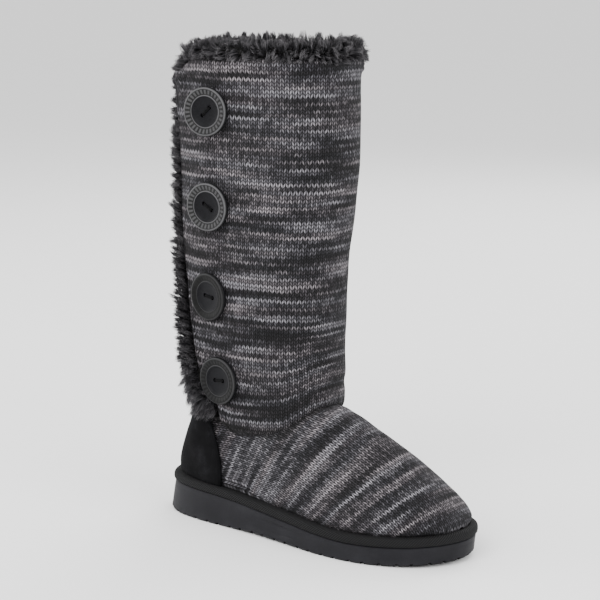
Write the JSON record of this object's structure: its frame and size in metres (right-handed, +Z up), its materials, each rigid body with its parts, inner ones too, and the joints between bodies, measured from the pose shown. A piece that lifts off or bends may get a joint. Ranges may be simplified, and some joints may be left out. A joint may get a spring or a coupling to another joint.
{
  "type": "mukluk boot",
  "caption": "Tall knitted winter boot with fur collar, side flap closed by large buttons, suede heel counter and ridged rubber sole.",
  "frame": {"origin": "middle of the boot's box on the floor that it stands on", "axes": "+X from heel to toe, +Y towards the inner side of the right foot, +Z up"},
  "size_m": [0.2678, 0.1066, 0.3646],
  "materials": {
    "sole_rubber": "matt moulded rubber",
    "binding_tape": "ribbed twill tape",
    "insole_felt": "brushed felt",
    "marled_knit": "marled stocking stitch in greys",
    "suede": "brushed suede",
    "fur": "deep pile",
    "button_resin": "satin with a rubbed rim"
  },
  "bodies": {
    "root": {"outsole": "sole_rubber", "welt_tape": "binding_tape", "insole": "insole_felt", "upper": "marled_knit", "heel_counter": "suede", "fur_trim": "fur", "fur_collar": "fur", "button_1": "button_resin", "button_2": "button_resin", "button_3": "button_resin", "button_4": "button_resin"}
  },
  "joints": []
}
